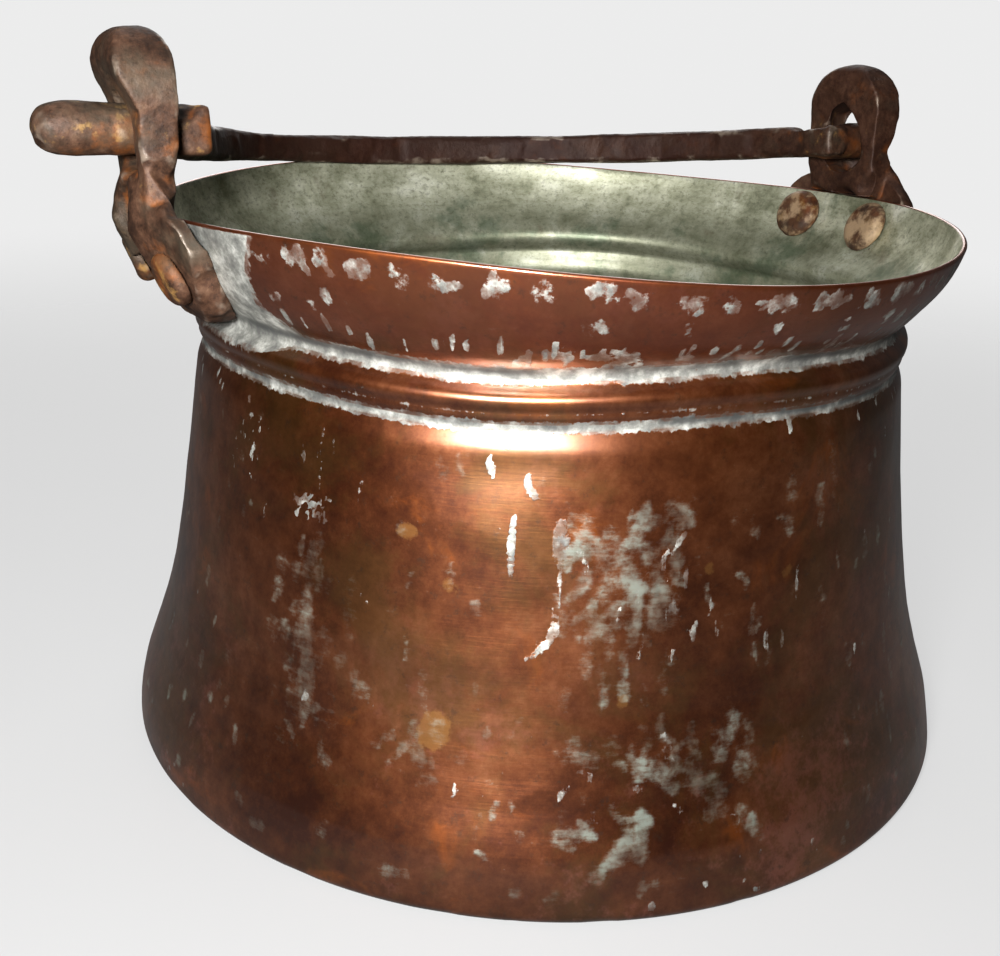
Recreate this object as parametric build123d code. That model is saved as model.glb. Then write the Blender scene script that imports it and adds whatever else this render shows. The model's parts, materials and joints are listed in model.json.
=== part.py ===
from build123d import *
import os
from math import asin, atan2, cos, degrees, radians, sin

# Hand-raised copper pail with two riveted iron ears and a swinging iron bail.
# Millimetres, +Z up. The origin is the centre of the flat base, on the plane that the pail
# stands on. The bail's hinge runs along X through both ears; the bail is laid back over the
# rim on the +Y side. "Left" is -X, "right" is +X, "front" is -Y and "back" is +Y.

# ---- vessel: one raised sheet, revolved about Z ----
SHEET = 1.4
BASE_RADIUS = 137.5
BASE_CORNER = 3.5
FLARE_MIDDLE = (135.9, 13.2)  # the wall leans in above the base...
FLARE_END = (133.0, 22.5)     # ...most steeply here...
WAIST_START = (121.9, 62.0)   # ...and is nearly upright from here to the shoulder
SHOULDER = (112.7, 123.5)
LOWER_GROOVE = (111.0, 127.2)
STEP_BEAD = (112.3, 130.6)
STEP_LINE = (111.6, 131.9)
MAIN_BEAD = (113.0, 134.6)
MAIN_BEAD_TOP = (111.6, 137.0)
UPPER_GROOVE = (109.4, 139.8)
COLLAR_FOOT = (110.8, 142.4)
COLLAR_MIDDLE = (119.2, 152.8)
LIP_RADIUS = 125.0
LIP_HEIGHT = 167.0

# ---- hinge and ears ----
HINGE_HEIGHT = 188.3
HINGE_TILT = 1.0              # degrees; the left ear stands a little higher than the right
LEFT_EAR_RADIUS = 127.5       # middle of the ear's legs, from the pail's centre
RIGHT_EAR_RADIUS = 122.5
LEFT_CROWN_DEPTH = 15.5       # radial; the left crown is forged to a spoon
RIGHT_CROWN_DEPTH = 11.5
LEFT_CROWN_LEAN = 2.0         # the crown's middle lies this far outside the legs' middle
RIGHT_CROWN_LEAN = 0.0
EAR_LEG_DEPTH = 10.5
LEG_BOTTOM = 168.0            # just clear of the lip
EAR_WIDTH = 34.0              # at the spring of the crown
LEG_BOTTOM_WIDTH = 31.3
SPRING_RISE = 5.2             # the rises are above the hinge
CROWN_HAUNCH_WIDTH = 25.2
CROWN_HAUNCH_RISE = 20.8
CROWN_SWELL_RISE = 14.3       # where the crown is deepest
EAR_CROWN_RISE = 26.0
EYE_WIDTH = 18.6
LEFT_EYE_DROP = 12.0          # bottom of the eye below the hinge
RIGHT_EYE_DROP = 8.6
EYE_LOW_HAUNCH = 0.7          # share of the half width and of the drop, at the eye's lower corner
EYE_HAUNCH_WIDTH = 12.3
EYE_HAUNCH_RISE = 7.8
EYE_RISE = 12.5               # point of the eye above the hinge

# ---- ear feet: widths across the ear, and the heights they are at ----
FOOT_THICKNESS = 7.0
FOOT_TOP = (31.3, 174.0)
FOOT_SHOULDER = (50.8, 170.0)
FOOT_TIP = (62.0, 163.0)
FOOT_WAIST = (52.0, 149.0)
FOOT_BOTTOM = (34.0, 141.0)

# ---- rivets ----
RIVET_HEIGHT = 157.0
RIVET_SPREAD = 18.0           # each side of the ear's middle
SHANK_DIAMETER = 7.0
SHANK_CLEARANCE = 0.05
INNER_HEAD_DIAMETER = 18.0
INNER_HEAD_RISE = 4.5
OUTER_HEAD_DIAMETER = 15.0
OUTER_HEAD_RISE = 3.5
HEAD_ROUNDING = 0.8           # radius of a head's edge, as a share of its rise
OUTER_HEAD_ROOT = 1.2         # starts below the ear's curved face, then is cut back to it

# ---- bail ----
LEFT_ARM = 115.2              # from the pail's centre to the middle of the bar, at the hinge
RIGHT_ARM = 110.2
BAIL_REACH = 122.0            # from the hinge to the middle of the bar
BAIL_DROP = 7.0               # degrees below level when laid back on the rim
BAR_WIDTH = 8.6               # in the bail's plane
BAR_HEIGHT = 11.0             # across the bail's plane
BAR_CORNER = 2.4
BAR_HEEL = 6.8                # the bar runs on past the hinge by this much
BLOCK_SIZE = (8.8, 15.0, 14.0)  # the left arm ends in an upset block, drawn about the bar
JOURNAL_DIAMETER = 12.8
BUTT_DIAMETER = 13.4
BUTT_SWELL = 6.0              # the journal swells to the butt's diameter over this length
BUTT_ROUNDING = 9.0           # length of the butt's rounded end
LEFT_BUTT_START = 134.0
LEFT_BUTT_END = 157.5
RIGHT_BUTT_START = 128.6
RIGHT_BUTT_END = 137.0


def left_side(shape):
    """Turn a shape made for the +X side round to the -X side."""
    return Rot(Z=180) * shape


def vessel_profile():
    """Outer outline of the sheet, from the centre of the base to the lip."""
    base = Line((0, 0), (BASE_RADIUS - BASE_CORNER, 0))
    corner_end = (BASE_RADIUS, BASE_CORNER)
    corner = RadiusArc(base @ 1, corner_end, -BASE_CORNER)
    flare = ThreePointArc(corner_end, FLARE_MIDDLE, FLARE_END)
    sweep_in = TangentArc(FLARE_END, WAIST_START, tangent=flare % 1)
    waist = TangentArc(WAIST_START, SHOULDER, tangent=sweep_in % 1)
    lower_groove = ThreePointArc(SHOULDER, LOWER_GROOVE, STEP_BEAD)
    step = Line(STEP_BEAD, STEP_LINE)
    main_bead = ThreePointArc(STEP_LINE, MAIN_BEAD, MAIN_BEAD_TOP)
    upper_groove = ThreePointArc(MAIN_BEAD_TOP, UPPER_GROOVE, COLLAR_FOOT)
    collar = ThreePointArc(COLLAR_FOOT, COLLAR_MIDDLE, (LIP_RADIUS, LIP_HEIGHT))
    wall = [corner, flare, sweep_in, waist]
    neck = [lower_groove, step, main_bead, upper_groove]
    return Wire([base, *wall, *neck, collar])


def make_shell():
    """The pail body before its rivet holes are punched."""
    sheet = make_face(vessel_profile().offset_2d(SHEET, side=Side.LEFT, closed=True))
    return revolve(Plane.XZ * sheet, Axis.Z)


def hinge_place():
    """The hinge line: through the ears, tilted so that the left end is higher."""
    return Pos(0, 0, HINGE_HEIGHT) * Rot(Y=HINGE_TILT)


def eye_height(side, ear_radius):
    """Height of the hinge line at the ear on the given side (-1 left, +1 right)."""
    return HINGE_HEIGHT - side * ear_radius * sin(radians(HINGE_TILT))


# ---- rivets ----
def collar_slope():
    """Angle of the collar's sheet from upright at the rivets, in degrees."""
    rise = LIP_HEIGHT - COLLAR_MIDDLE[1]
    spread = LIP_RADIUS - COLLAR_MIDDLE[0]
    return degrees(atan2(spread, rise))


def collar_radius(height):
    """Outer radius of the collar at a height, on the arc that draws the collar."""
    collar = ThreePointArc(COLLAR_FOOT, COLLAR_MIDDLE, (LIP_RADIUS, LIP_HEIGHT))
    centre = collar.arc_center
    return centre.X + (collar.radius**2 - (height - centre.Y) ** 2) ** 0.5


def rivet_place(side, end):
    """Frame on the collar's outer face: its Z points out along the rivet."""
    radius = collar_radius(RIVET_HEIGHT)
    turn = degrees(asin(RIVET_SPREAD / radius))
    around = turn * end if side > 0 else 180 - turn * end
    return Rot(Z=around) * Pos(radius, 0, RIVET_HEIGHT) * Rot(Y=90 + collar_slope())


def punch(shape, side):
    """Cut the two rivet holes of one ear through a piece."""
    drill = Cylinder(SHANK_DIAMETER / 2 + SHANK_CLEARANCE, 3 * FOOT_THICKNESS)
    for end in (-1, 1):
        shape -= rivet_place(side, end) * drill
    return shape


def domed_head(diameter, rise, root):
    """A hammered rivet head, rounded over at the top. It starts at z = -root."""
    blank = Pos(0, 0, (rise - root) / 2) * Cylinder(diameter / 2, rise + root)
    return fillet(blank.edges().group_by(Axis.Z)[-1], HEAD_ROUNDING * rise)


def make_rivet(side, end, shell, ear):
    """One rivet: a domed head inside the pail, the shank, and a peened head on the ear."""
    place = rivet_place(side, end)
    inner_head = domed_head(INNER_HEAD_DIAMETER, INNER_HEAD_RISE, 0)
    inner_head = Pos(0, 0, -SHEET) * Rot(X=180) * inner_head
    outer_head = domed_head(OUTER_HEAD_DIAMETER, OUTER_HEAD_RISE, OUTER_HEAD_ROOT)
    outer_head = Pos(0, 0, FOOT_THICKNESS) * outer_head
    middle = (FOOT_THICKNESS - SHEET) / 2
    stem = Pos(0, 0, middle) * Cylinder(SHANK_DIAMETER / 2, FOOT_THICKNESS + SHEET + INNER_HEAD_RISE)
    return (place * inner_head - shell) + place * stem + (place * outer_head - ear)


# ---- ears ----
def right_half(outline_point):
    """The x > 0 corner of a (full width, height) pair."""
    return (outline_point[0] / 2, outline_point[1])


def mirrored_loop(half_edges, *closing_edges):
    """Close a half outline on the x > 0 side with its mirror image."""
    return [*half_edges, *[mirror(edge, Plane.YZ) for edge in half_edges], *closing_edges]


def arch_outline(eye_centre):
    """The ear's upright loop seen along the hinge."""
    leg = (LEG_BOTTOM_WIDTH / 2, LEG_BOTTOM)
    spring = (EAR_WIDTH / 2, eye_centre + SPRING_RISE)
    haunch = (CROWN_HAUNCH_WIDTH / 2, eye_centre + CROWN_HAUNCH_RISE)
    crown = (0, eye_centre + EAR_CROWN_RISE)
    bottom = Line(leg, (-leg[0], leg[1]))
    return make_face(mirrored_loop([Line(leg, spring), ThreePointArc(spring, haunch, crown)], bottom))


def eye_outline(eye_centre, eye_drop):
    """The eye: a rounded bottom and a pointed top."""
    half = EYE_WIDTH / 2
    low = (0, eye_centre - eye_drop)
    low_haunch = (EYE_LOW_HAUNCH * half, eye_centre - EYE_LOW_HAUNCH * eye_drop)
    spring = (half, eye_centre)
    haunch = (EYE_HAUNCH_WIDTH / 2, eye_centre + EYE_HAUNCH_RISE)
    point = (0, eye_centre + EYE_RISE)
    half_edges = [ThreePointArc(low, low_haunch, spring), ThreePointArc(spring, haunch, point)]
    return make_face(mirrored_loop(half_edges))


def arch_depth_outline(eye_centre, crown_depth, crown_lean):
    """The loop seen edge-on, with x pointing outward: a plain leg that swells to the crown."""
    leg = EAR_LEG_DEPTH / 2
    swell = eye_centre + CROWN_SWELL_RISE
    crown = (crown_lean, eye_centre + EAR_CROWN_RISE)
    edges = [Line((-leg, LEG_BOTTOM), (leg, LEG_BOTTOM))]
    for face in (-1, 1):
        spring = (face * leg, eye_centre)
        edges.append(Line((face * leg, LEG_BOTTOM), spring))
        widest = (crown_lean + face * crown_depth / 2, swell)
        edges.append(Spline(spring, widest, crown, tangents=[(0, 1), (-face, 0)]))
    return make_face(edges)


def foot_outline():
    """The foot spread flat against the collar: a half moon with a blunt lower end."""
    top = right_half(FOOT_TOP)
    tip = right_half(FOOT_TIP)
    bottom = right_half(FOOT_BOTTOM)
    half = [
        ThreePointArc(top, right_half(FOOT_SHOULDER), tip),
        ThreePointArc(tip, right_half(FOOT_WAIST), bottom),
    ]
    level_ends = [Line(end, (-end[0], end[1])) for end in (top, bottom)]
    return make_face(mirrored_loop(half, *level_ends))


def foot_band():
    """A band wrapped round the outside of the collar and standing up past the lip."""
    collar = ThreePointArc(COLLAR_FOOT, COLLAR_MIDDLE, (LIP_RADIUS, LIP_HEIGHT))
    upright = Line((LIP_RADIUS, LIP_HEIGHT), (LIP_RADIUS, FOOT_TOP[1]))
    face = Wire([collar, upright])
    band = make_face(face.offset_2d(FOOT_THICKNESS, side=Side.RIGHT, closed=True))
    return revolve(Plane.XZ * band, Axis.Z)


def make_ear(side, ear_radius, eye_drop, crown_depth, crown_lean):
    """One forged ear on the +X side, turned round afterwards for the left."""
    eye_centre = eye_height(side, ear_radius)
    across = Plane.YZ
    along = Plane(origin=(ear_radius, 0, 0), x_dir=(1, 0, 0), z_dir=(0, -1, 0))
    reach = 2 * LIP_RADIUS
    loop = extrude(across * arch_outline(eye_centre), reach)
    loop &= extrude(along * arch_depth_outline(eye_centre, crown_depth, crown_lean), EAR_WIDTH, both=True)
    foot = extrude(across * foot_outline(), reach) & foot_band()
    ear = loop + foot - extrude(across * eye_outline(eye_centre, eye_drop), reach)
    return left_side(ear) if side < 0 else ear


# ---- bail ----
def bar_section():
    return RectangleRounded(BAR_WIDTH, BAR_HEIGHT, BAR_CORNER)


def make_bail():
    """A flat bar bent to a half loop, with a round journal through each ear."""
    middle = (RIGHT_ARM - LEFT_ARM) / 2
    half_width = (RIGHT_ARM + LEFT_ARM) / 2
    start = (RIGHT_ARM, -BAR_HEEL)
    right = Line(start, (RIGHT_ARM, 0))
    bow = EllipticalCenterArc((middle, 0), half_width, BAIL_REACH, 0, arc_size=180)
    left = Line((-LEFT_ARM, 0), (-LEFT_ARM, -BAR_HEEL))
    path = Wire([right, bow, left])
    section = Plane(origin=(*start, 0), x_dir=(1, 0, 0), z_dir=(0, 1, 0)) * bar_section()
    loop = sweep(section, path=path) + make_block()
    loop += make_journal(RIGHT_ARM, RIGHT_BUTT_START, RIGHT_BUTT_END)
    loop += left_side(make_journal(LEFT_ARM, LEFT_BUTT_START, LEFT_BUTT_END))
    return hinge_place() * Rot(X=-BAIL_DROP) * loop


def make_block():
    """The squared, upset end of the left arm, flush with the end of the bar's heel."""
    middle = BLOCK_SIZE[1] / 2 - BAR_HEEL
    block = Pos(-LEFT_ARM, middle, 0) * Box(*BLOCK_SIZE)
    return fillet(block.edges(), BAR_CORNER / 2)


def make_journal(arm, butt_start, butt_end):
    """The bar's end, round through the eye, then a slightly thicker butt with a rounded end."""
    neck = JOURNAL_DIAMETER / 2
    butt = BUTT_DIAMETER / 2
    swell_end = min(butt_start + BUTT_SWELL, butt_end - BUTT_ROUNDING / 2)
    outline = [
        Line((arm, 0), (arm, neck)),
        Line((arm, neck), (butt_start, neck)),
        Spline((butt_start, neck), (swell_end, butt), (butt_end, 0), tangents=[(1, 0), (0, -1)]),
        Line((butt_end, 0), (arm, 0)),
    ]
    return revolve(make_face(outline), Axis.X)


def write(name, shape):
    shape.label = name
    export_step(shape, f"parts/{name}.step")


def main():
    os.makedirs("parts", exist_ok=True)
    write("bail_handle", make_bail())
    shell = make_shell()
    vessel = shell
    for side_name, side, *ear_sizes in (
        ("left", -1, LEFT_EAR_RADIUS, LEFT_EYE_DROP, LEFT_CROWN_DEPTH, LEFT_CROWN_LEAN),
        ("right", 1, RIGHT_EAR_RADIUS, RIGHT_EYE_DROP, RIGHT_CROWN_DEPTH, RIGHT_CROWN_LEAN),
    ):
        ear = make_ear(side, *ear_sizes) - shell
        vessel = punch(vessel, side)
        write(f"ear_{side_name}", punch(ear, side))
        for end_name, end in (("front", -1), ("back", 1)):
            write(f"rivet_{side_name}_{end_name}", make_rivet(side, end, shell, ear))
    write("vessel", vessel)


main()
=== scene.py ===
"""Looks for the copper pail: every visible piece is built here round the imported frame.

Sizes are in metres unless a name or a comment says otherwise. MM turns a size written in
millimetres into metres. Angles round the pail are in degrees from +X, positive towards +Y, as
in the frame. Noise scales are in cells per metre, and colours are linear.
"""
import json
import math
import random

import bpy
import numpy as np
from mathutils import Matrix, Vector, noise
from mathutils.bvhtree import BVHTree


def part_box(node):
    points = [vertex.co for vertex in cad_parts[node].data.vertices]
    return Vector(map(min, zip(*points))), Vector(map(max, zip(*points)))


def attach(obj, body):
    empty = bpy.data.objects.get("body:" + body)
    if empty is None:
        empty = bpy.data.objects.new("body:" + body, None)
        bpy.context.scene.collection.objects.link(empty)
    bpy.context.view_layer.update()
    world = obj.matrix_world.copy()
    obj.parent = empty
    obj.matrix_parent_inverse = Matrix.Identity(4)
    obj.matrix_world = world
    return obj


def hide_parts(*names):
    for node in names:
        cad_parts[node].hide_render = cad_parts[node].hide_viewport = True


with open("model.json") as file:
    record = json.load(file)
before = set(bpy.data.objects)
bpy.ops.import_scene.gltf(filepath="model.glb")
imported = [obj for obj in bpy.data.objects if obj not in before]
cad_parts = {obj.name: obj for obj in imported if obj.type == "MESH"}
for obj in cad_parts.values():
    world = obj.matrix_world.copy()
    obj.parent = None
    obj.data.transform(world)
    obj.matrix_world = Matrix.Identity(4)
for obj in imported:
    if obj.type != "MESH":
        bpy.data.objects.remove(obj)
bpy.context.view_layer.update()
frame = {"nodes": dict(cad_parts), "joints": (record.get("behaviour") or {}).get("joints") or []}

MM = 0.001

# ---- vessel surface ----
RING_POINTS = 960
WALL_STEP = 0.8 * MM
INNER_WALL_STEP = 3            # the inner wall keeps one ring of every so many
BASE_RING_STEP = 7 * MM
LIP_ROUND_STEPS = 4
NECK_LOW = 118 * MM            # the beads and grooves lie between these two heights
NECK_HIGH = 146 * MM
SHOULDER_SOFTENING = (122.5 * MM, 5 * MM, 1.6 * MM)     # middle height, half width and blur
BEAD_SOFTENING = (134 * MM, 12 * MM, 0.5 * MM)
LIP_WAVE = ((2.2 * MM, 1, 130.5), (0.7 * MM, 2, 33.0), (1.6 * MM, 3, -23.6))   # see wave()
NECK_WAVE = (0.8 * MM, 5, -95.0)
OUT_OF_ROUND = (0.7 * MM, 2, 20.0)
SWELLS = (13.0, 1, 0.55)       # noise scale, seed and depth in millimetres, here and below
DENTS = (62.0, 2, 0.22)
CREASES = (45.0, 3, 0.22)
NECK_DENTS = (30.0, 4, 0.35)
NECK_WANDER = (22.0, 5, 0.4)
FOOT_NICK_SCALE = 90.0
FOOT_NICK_SEED = 6

# ---- tin on the outside ----
LOWER_BAND = (126.9 * MM, 128.8 * MM)
STEP_LINE = 131.6 * MM
UPPER_BAND = (139.0 * MM, 142.6 * MM)
BAND_FADE = 1.5 * MM
FLOOD_FOOT = (133 * MM, 137 * MM)              # the flood round an ear's foot fades in here
FLOOD_HEIGHTS = (132, 141, 150, 158, 167)      # millimetres
FLOOD_HALF_WIDTHS = (10, 26, 19.5, 20.5, 23)   # degrees each side of an ear
FLOOD_FADE = 1.8                               # degrees
STROKE_POINTS = 9
BRIGHT_SEED = 11
DULL_SEED = 12
STAIN_SEED = 13

# ---- forged iron ----
HINGE = frame["joints"][0]
HINGE_HEIGHT = HINGE["pos_m"][2]
HINGE_SLOPE = -HINGE["axis"][2] / HINGE["axis"][0]   # the hinge line drops this much per unit of +X
EYE_REACH = 17 * MM           # rust is brighter within this distance of the hinge line
IRON_SWELLS = (55.0, 0.35)    # noise scale and depth in millimetres
IRON_PITS = (420.0, 0.10)
LEFT_LEG_MIDDLE = 127.5 * MM  # middle of an ear's legs, from the pail's axis
RIGHT_LEG_MIDDLE = 122.5 * MM
EAR_WAIST = 176 * MM          # height of the waist between an ear's eye and its foot
LEAF_LUMPS = 8
LEAF_TOP = 175.0              # millimetres above the floor
LEAF_DROP = 25.0              # millimetres from its top lump to its lowest
LEAF_ROOT = 3.4               # degrees from the ear's middle to a leaf's top lump
LEAF_SPREAD = 6.2             # degrees further out at its lowest lump
LEAF_TWIST = 20.0             # degrees each leaf turns away from the ear's middle
LEAF_THICKNESS = 3.3 * MM     # half sizes of a leaf's lumps
LEAF_WIDTH = 9.0 * MM
LEAF_LENGTH = 7.0 * MM
COLLAR_LEAN = 30.0            # degrees the collar leans outward at the ears
COLLAR_TOP = 166 * MM         # above this a leaf stands straight up from the lip
BAR_PLACES = (0, 40, 75, 100, 118, 135, 160, 180)            # degrees round the bail
BAR_THICKENING = (0.1, 0.1, 0.1, -0.2, -0.8, 0.0, 0.9, 1.1)  # millimetres at those places
BAR_UNEVENNESS = (28.0, 9)                                   # noise scale and seed
LEFT_BUTT = (134 * MM, 157 * MM)
LEFT_BUTT_THICKENING = (0.6 * MM, -1.3 * MM)                 # at its start and its end


# ------------------------------------------------------------------ small helpers
def smoothstep(low, high, value):
    share = np.clip((value - low) / (high - low), 0.0, 1.0)
    return share * share * (3.0 - 2.0 * share)


def wave(angle, amplitude, lobes, peak):
    """A standing wave round the pail. angle and peak are in degrees."""
    return amplitude * np.cos(np.radians(lobes * (angle - peak)))


def noise_at(points, scale, seed):
    """Smooth noise from -1 to 1 at each row of points."""
    shift = Vector((seed * 7.31, seed * 3.17, seed * 5.53))
    return np.array([noise.noise(Vector(p) * scale + shift) for p in points])


def uneven(points, scale, seed, depth):
    """Smooth noise up to a depth given in millimetres."""
    return noise_at(points, scale, seed) * depth * MM


def dimples_at(points, scale, seed, depth):
    """Hammer marks: 0 in the middle of each blow, up to a depth in millimetres between blows."""
    shift = Vector((seed * 2.71, seed * 8.11, seed * 4.37))
    marks = np.array([noise.voronoi(Vector(p) * scale + shift)[0][0] for p in points]) ** 2
    return marks * depth * MM


def link(name, data):
    """A new object in the scene."""
    made = bpy.data.objects.new(name, data)
    bpy.context.scene.collection.objects.link(made)
    return made


def new_object(name, vertices, faces):
    mesh = bpy.data.meshes.new(name)
    mesh.from_pydata([tuple(v) for v in vertices], [], [tuple(f) for f in faces])
    mesh.validate()
    mesh.polygons.foreach_set("use_smooth", [True] * len(mesh.polygons))
    return link(name, mesh)


def set_attribute(made, name, values):
    attribute = made.data.attributes.new(name, "FLOAT", "POINT")
    attribute.data.foreach_set("value", np.asarray(values, np.float32))


def stand_for(made, node, body, material):
    """Show a finished piece in place of a CAD node, moving with a body."""
    made.data.materials.append(material)
    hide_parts(node)
    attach(made, body)


# ------------------------------------------------------------------ vessel shape
def cad_tree(node):
    mesh = frame["nodes"][node].data
    return BVHTree.FromPolygons([v.co for v in mesh.vertices], [p.vertices for p in mesh.polygons])


def wall_outline():
    """The CAD wall's outer radius by height, and its thickness, read from the +Y side."""
    tree = cad_tree("vessel")
    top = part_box("vessel")[1].z
    heights = np.arange(0.15 * MM, top - 0.35 * MM, 0.2 * MM)
    outward = Vector((0, 1, 0))
    radii = []
    for height in heights:
        hit = tree.ray_cast(Vector((0, 0.3, height)), -outward)[0]
        radii.append(hit.y)
    waist = Vector((0, 0, top * 0.6))
    outer = tree.ray_cast(waist + outward * 0.3, -outward)[0]
    inner = tree.ray_cast(waist, outward)[0]
    return soften_neck(np.array(radii), heights), heights, outer.y - inner.y


def soften_neck(radii, heights):
    """Round the beads over a little, and the shoulder below them a good deal."""
    spacing = heights[1] - heights[0]
    for middle, half_width, blur in (SHOULDER_SOFTENING, BEAD_SOFTENING):
        reach = int(3 * blur / spacing)
        steps = np.arange(-reach, reach + 1) * spacing
        weights = np.exp(-0.5 * (steps / blur) ** 2)
        blurred = np.convolve(np.pad(radii, reach, mode="edge"), weights / weights.sum(), mode="valid")
        share = 1 - smoothstep(half_width * 0.6, half_width, np.abs(heights - middle))
        radii = radii + (blurred - radii) * share
    return radii


WALL_RADII, WALL_HEIGHTS, SHEET = wall_outline()


def wall_radius(height):
    return np.interp(height, WALL_HEIGHTS, WALL_RADII)


def even_steps(line, step):
    """Points along a polyline at even distances."""
    lengths = np.concatenate([[0], np.cumsum(np.linalg.norm(np.diff(line, axis=0), axis=1))])
    places = np.linspace(0, lengths[-1], max(2, round(lengths[-1] / step)))
    return np.stack([np.interp(places, lengths, line[:, i]) for i in (0, 1)], 1)


def vessel_profile():
    """The sheet's closed outline as (radius, height) rows and, for each row, whether it is inside."""
    wall = even_steps(np.stack([WALL_RADII, WALL_HEIGHTS], 1), WALL_STEP)
    slope = np.gradient(wall, axis=0)
    slope /= np.linalg.norm(slope, axis=1)[:, None]
    inward = np.stack([-slope[:, 1], slope[:, 0]], 1)
    inner_wall = wall + inward * SHEET
    inner_wall = inner_wall[inner_wall[:, 1] > SHEET]
    inner_wall = np.concatenate([inner_wall[:-1:INNER_WALL_STEP], inner_wall[-1:]])
    base_rings = np.arange(BASE_RING_STEP, wall[0, 0] - 1 * MM, BASE_RING_STEP)
    floor_rings = base_rings[base_rings < inner_wall[0, 0] - 1 * MM]
    base = np.stack([base_rings, np.zeros_like(base_rings)], 1)
    floor = np.stack([floor_rings, np.full_like(floor_rings, SHEET)], 1)
    lip = rounded_lip(wall[-1], inner_wall[-1], slope[-1])
    rows = np.concatenate([base, wall, lip, inner_wall[::-1], floor[::-1]])
    inside = np.concatenate([
        np.zeros(len(base) + len(wall)),
        np.full(len(lip), 0.5),
        np.ones(len(inner_wall) + len(floor)),
    ])
    return rows, inside


def rounded_lip(outer_end, inner_end, slope):
    """A half circle from the outer wall's end over to the inner wall's end."""
    middle = (outer_end + inner_end) / 2
    across = (outer_end - inner_end) / 2
    turn = np.linspace(0, math.pi, LIP_ROUND_STEPS + 2)[1:-1]
    return middle + np.cos(turn)[:, None] * across + np.sin(turn)[:, None] * slope * SHEET / 2


def collar_share(height):
    """0 below the collar and 1 on it."""
    return smoothstep(NECK_HIGH - 4 * MM, NECK_HIGH + 4 * MM, height)


def neck_share(height):
    """1 on the beads and grooves, and 0 on the body and on the collar."""
    return smoothstep(NECK_LOW - 12 * MM, NECK_LOW, height) * (1 - collar_share(height))


def hammer_marks(beside, angle, height):
    """How far the sheet stands out from its plain form."""
    upright = smoothstep(0.0, 12 * MM, height)
    body = 1.0 - smoothstep(NECK_LOW, NECK_LOW + 8 * MM, height)
    swells = uneven(beside, *SWELLS)
    dents = dimples_at(beside, *DENTS)
    on_body = body * (swells + dents + uneven(beside, *CREASES))
    on_collar = collar_share(height) * (swells * 0.5 + dents)
    on_neck = neck_share(height) * uneven(beside, *NECK_DENTS)
    return upright * (on_body + on_collar) + on_neck + upright * wave(angle, *OUT_OF_ROUND)


def uneven_height(beside, angle, plain_height):
    """The height with a wavy lip, beads that wander and a nicked foot."""
    lift = smoothstep(NECK_HIGH - 6 * MM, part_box("vessel")[1].z, plain_height)
    height = plain_height + lift * sum(wave(angle, *term) for term in LIP_WAVE)
    wander = wave(angle, *NECK_WAVE) + uneven(beside, *NECK_WANDER)
    height = height + neck_share(plain_height) * wander
    nick = np.clip(noise_at(beside, FOOT_NICK_SCALE, FOOT_NICK_SEED) - 0.25, 0, 1)
    nick = nick * smoothstep(0.0, 1 * MM, plain_height) * (1 - smoothstep(1 * MM, 6 * MM, plain_height))
    return height + nick * MM


def vessel_shape(rows):
    """Every vertex of the hammered sheet, ring by ring, with its angle and height on the plain form."""
    angle = np.tile(np.arange(RING_POINTS) * 360.0 / RING_POINTS, len(rows))
    turn = np.radians(angle)
    plain_radius = np.repeat(rows[:, 0], RING_POINTS)
    plain_height = np.repeat(rows[:, 1], RING_POINTS)
    # The inner face takes its dents from the outer face beside it, so the sheet stays even.
    outer = wall_radius(plain_height)
    beside = np.stack([outer * np.cos(turn), outer * np.sin(turn), plain_height], 1)
    radius = plain_radius + hammer_marks(beside, angle, plain_height)
    height = uneven_height(beside, angle, plain_height)
    return np.stack([radius * np.cos(turn), radius * np.sin(turn), height], 1), angle, plain_height


def ring_faces(rings):
    """Quads between neighbouring rings, and a fan over each end ring's middle."""
    faces = []
    for ring in range(rings - 1):
        for i in range(RING_POINTS):
            j = (i + 1) % RING_POINTS
            low, high = ring * RING_POINTS, (ring + 1) * RING_POINTS
            faces.append((low + i, low + j, high + j, high + i))
    first_middle = rings * RING_POINTS
    for i in range(RING_POINTS):
        j = (i + 1) % RING_POINTS
        faces.append((first_middle, j, i))
        last = (rings - 1) * RING_POINTS
        faces.append((first_middle + 1, last + i, last + j))
    return faces


# ------------------------------------------------------------------ tin on the outside
def bow(middle, length, lean, bend):
    """Points along a short curved stroke: how far round the wall, and how high."""
    heading = lean + bend * np.linspace(-0.5, 0.5, STROKE_POINTS)
    step = length / (STROKE_POINTS - 1)
    xs = np.cumsum(np.sin(heading)) * step
    zs = middle + np.cumsum(np.cos(heading)) * step
    return np.stack([xs - xs.mean(), zs - (zs.mean() - middle)], 1)


def scatter(rng, count, angles, heights, lengths, widths, lean, bend, strength):
    """Seeded strokes inside one patch of the wall. Angles in degrees, sizes in millimetres.

    A stroke is (angle, height, length, lean, bend, width, strength), with its sizes in metres
    and its lean and bend in radians.
    """
    strokes = []
    for _ in range(count):
        place = (rng.uniform(*angles), rng.uniform(*heights) * MM)
        form = (rng.uniform(*lengths) * MM, rng.uniform(-lean, lean), rng.uniform(-bend, bend))
        strokes.append((*place, *form, rng.uniform(*widths) * MM, rng.uniform(*strength)))
    return strokes


def scatter_all(rng, patches):
    return [stroke for patch in patches for stroke in scatter(rng, *patch)]


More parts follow.
